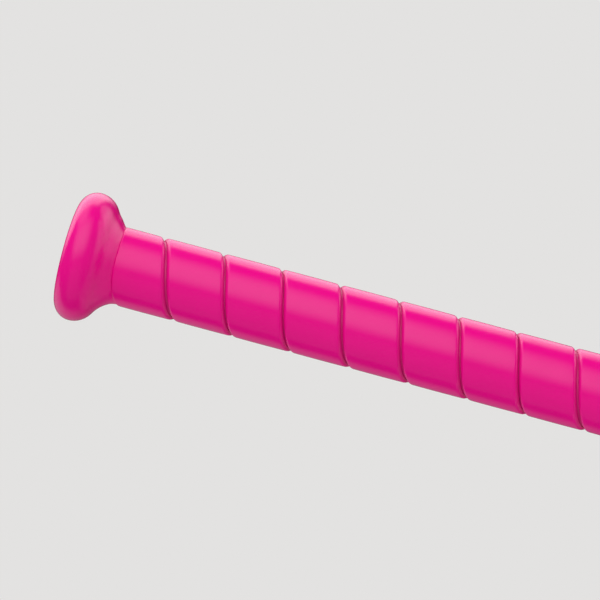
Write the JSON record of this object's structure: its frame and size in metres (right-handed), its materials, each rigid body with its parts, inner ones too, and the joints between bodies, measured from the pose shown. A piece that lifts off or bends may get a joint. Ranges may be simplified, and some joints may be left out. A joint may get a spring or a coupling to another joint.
{
  "type": "softball bat",
  "caption": "Two-piece softball bat with a flared round knob, a spirally wound cushion grip, a tapered handle, a joint collar, a round barrel and a dished end cap.",
  "frame": {"origin": "centre of the end cap's flat rim, at the barrel's end, on the plane that the bat stands on", "axes": "+Z along the bat's axis, from the end cap up to the knob; +X is the side that is uppermost in the picture, and the picture looks along +Y"},
  "size_m": [0.0572, 0.0572, 0.8382],
  "materials": {
    "knob_polymer": "moulded polyurethane, hot pink, satin",
    "grip_tape": "cushioned polyurethane grip tape, hot pink, smooth satin skin",
    "black_nylon": "moulded nylon, black",
    "vinyl_tape": "stretched vinyl tape, black, satin",
    "coated_composite": "fibre composite, painted hot pink under a clear gloss coat",
    "bare_composite": "bare carbon fibre composite",
    "black_urethane": "moulded urethane, black, fine moulded grain",
    "bush_elastomer": "bonded elastomer, dark grey",
    "stopper_foam": "closed-cell polyethylene foam, grey",
    "slug_steel": "zinc-plated turned steel"
  },
  "bodies": {
    "root": {"knob": "knob_polymer", "knob_plug": "black_nylon", "handle": "coated_composite", "handle_stopper": "stopper_foam", "grip_wrap": "grip_tape", "finishing_tape": "vinyl_tape", "transition_collar": "black_urethane", "connection_bush": "bush_elastomer", "barrel": "coated_composite", "inner_barrel": "bare_composite", "end_cap": "black_urethane", "balance_weight": "slug_steel"}
  },
  "joints": []
}
